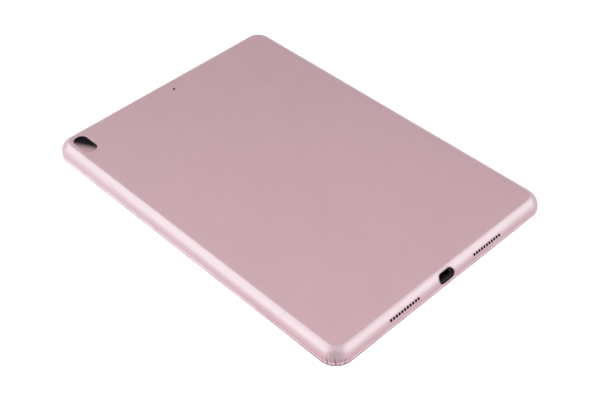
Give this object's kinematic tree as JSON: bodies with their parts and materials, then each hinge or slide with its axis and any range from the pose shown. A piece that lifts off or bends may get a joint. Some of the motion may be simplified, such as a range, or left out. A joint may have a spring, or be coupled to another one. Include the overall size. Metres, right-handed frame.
{
  "type": "tablet computer",
  "caption": "Slim tablet computer lying on its glass face in a snug leather-covered back case, with openings for the camera, charging port, speakers, headphones and buttons.",
  "frame": {"origin": "middle of the case's rim, on the surface the tablet lies on", "axes": "+X sideways, away from the camera's corner; +Y towards the camera's end, with the charging port at -Y; +Z out of the back"},
  "size_m": [0.1778, 0.254, 0.01],
  "materials": {
    "rose_leather": "semi-gloss coated leather with fine grain",
    "case_plastic": "matte moulded plastic",
    "lining_cloth": "short-pile microfibre",
    "trim_rubber": "satin edge paint",
    "black_plastic": "fine matte",
    "graphite_metal": "bead-blasted anodised",
    "front_glass": "polished",
    "seal_foam": "foam",
    "touch_film": "clear film",
    "display_glass": "polished",
    "white_plastic": "white moulded",
    "sheet_aluminium": "stamped",
    "screw_steel": "nickel plated",
    "pouch_foil": "crimped foil pouch",
    "glue_film": "pull-tab film",
    "circuit_board": "solder mask",
    "flex_circuit": "polyimide",
    "chip_plastic": "moulded epoxy",
    "tinned_steel": "tinned",
    "thermal_pad": "soft",
    "connector_plastic": "moulded",
    "lens_glass": "coated",
    "camera_glass": "polished dark glass",
    "dark_metal": "anodised",
    "led_resin": "phosphor resin",
    "mesh_steel": "blackened mesh",
    "bright_steel": "drawn",
    "button_metal": "anodised"
  },
  "bodies": {
    "tablet": {"rear_housing": "graphite_metal", "cover_glass": "front_glass", "display_adhesive": "seal_foam", "touch_sensor": "touch_film", "lcd_panel": "display_glass", "backlight_unit": "white_plastic", "mid_frame": "sheet_aluminium", "frame_screws": "screw_steel", "battery_cell_left": "pouch_foil", "battery_cell_right": "pouch_foil", "battery_adhesive": "glue_film", "battery_board": "circuit_board", "battery_flex": "flex_circuit", "logic_board": "circuit_board", "board_chips": "chip_plastic", "shield_cans": "tinned_steel", "thermal_pads": "thermal_pad", "board_connectors": "connector_plastic", "board_screws": "screw_steel", "rear_camera_module": "black_plastic", "rear_camera_lens": "lens_glass", "camera_window": "camera_glass", "camera_trim": "dark_metal", "flash_led": "led_resin", "front_camera_module": "black_plastic", "light_sensor": "chip_plastic", "rear_microphone": "tinned_steel", "microphone_mesh": "mesh_steel", "speaker_left": "black_plastic", "speaker_right": "black_plastic", "speaker_meshes": "mesh_steel", "speaker_screws": "screw_steel", "usb_shell": "bright_steel", "usb_tongue": "chip_plastic", "port_board": "circuit_board", "port_flex": "flex_circuit", "headphone_socket": "black_plastic", "headphone_collar": "bright_steel", "antenna_left": "flex_circuit", "antenna_right": "flex_circuit", "antenna_cables": "seal_foam", "display_flex": "flex_circuit", "touch_flex": "flex_circuit", "power_switch": "connector_plastic", "volume_switches": "connector_plastic", "power_bracket": "tinned_steel", "volume_bracket": "tinned_steel", "bracket_screws": "screw_steel"},
    "case": {"leather_cover": "rose_leather", "case_shell": "case_plastic", "case_lining": "lining_cloth", "rim_trim": "trim_rubber", "camera_surround": "black_plastic"},
    "power_button": {"power_button": "button_metal"},
    "volume_up_button": {"volume_up_button": "button_metal"},
    "volume_down_button": {"volume_down_button": "button_metal"}
  },
  "joints": [
    {"name": "case_lift", "type": "slide", "parent": "tablet", "child": "case", "axis": [0, 0, 1], "range_m": [0, 0.025]},
    {"name": "power_press", "type": "slide", "parent": "tablet", "child": "power_button", "axis": [0, -1, 0], "range_m": [0, 0.0003], "stiffness_N_per_m": 6000},
    {"name": "volume_up_press", "type": "slide", "parent": "tablet", "child": "volume_up_button", "axis": [-1, 0, 0], "range_m": [0, 0.0003], "stiffness_N_per_m": 6000},
    {"name": "volume_down_press", "type": "slide", "parent": "tablet", "child": "volume_down_button", "axis": [-1, 0, 0], "range_m": [0, 0.0003], "stiffness_N_per_m": 6000}
  ]
}
